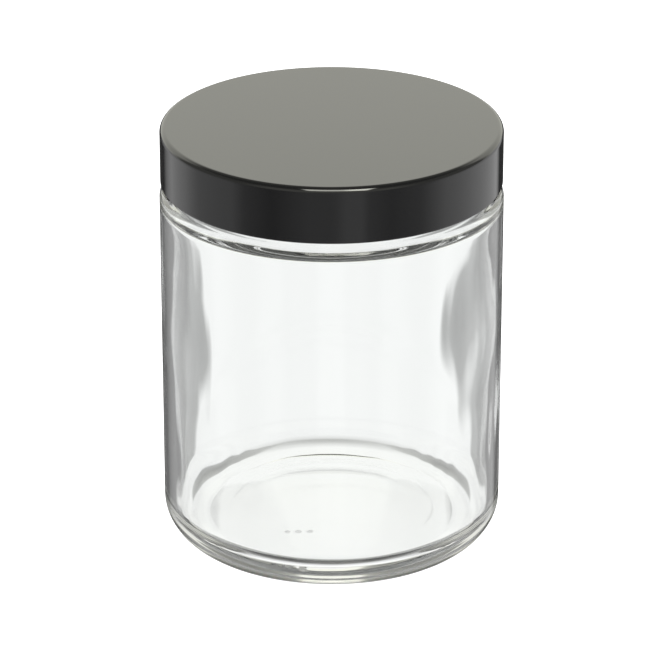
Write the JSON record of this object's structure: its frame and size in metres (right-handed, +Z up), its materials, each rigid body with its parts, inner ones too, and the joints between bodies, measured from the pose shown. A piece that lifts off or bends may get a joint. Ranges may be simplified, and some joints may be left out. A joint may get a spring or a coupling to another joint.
{
  "type": "specimen jar",
  "caption": "Straight-sided clear glass specimen jar with a smooth black screw cap and a foamed liner, for wet or dry specimens on display.",
  "frame": {"origin": "on the jar's axis at the plane of the ring that it stands on", "axes": "+Z up along the jar's axis, from the base to the cap; +X and +Y are arbitrary because the body is round"},
  "size_m": [0.0734, 0.0734, 0.0936],
  "materials": {
    "clear_glass": "clear flint glass, fire-polished outside, slightly uneven inside",
    "black_phenolic": "moulded black phenolic, smooth and glossy",
    "liner_film": "translucent white polyethylene film, satin",
    "liner_foam": "white closed-cell polyethylene foam, matte"
  },
  "bodies": {
    "jar": {"glass_jar": "clear_glass"},
    "liner": {"liner_upper_skin": "liner_film", "liner_core": "liner_foam", "liner_lower_skin": "liner_film"},
    "cap": {"screw_cap": "black_phenolic"}
  },
  "joints": [
    {"name": "cap_rise", "type": "slide", "parent": "jar", "child": "liner", "axis": [0, 0, 1], "range_m": [0, 0.0127]},
    {"name": "cap_turn", "type": "hinge", "parent": "liner", "child": "cap", "pos_m": [0, 0, 0.0873], "axis": [0, 0, 1], "range_deg": [0, 1080]}
  ],
  "couplings": [
    {"joint": "cap_rise", "follows": "cap_turn", "m_per_rad": 0.0006737}
  ]
}
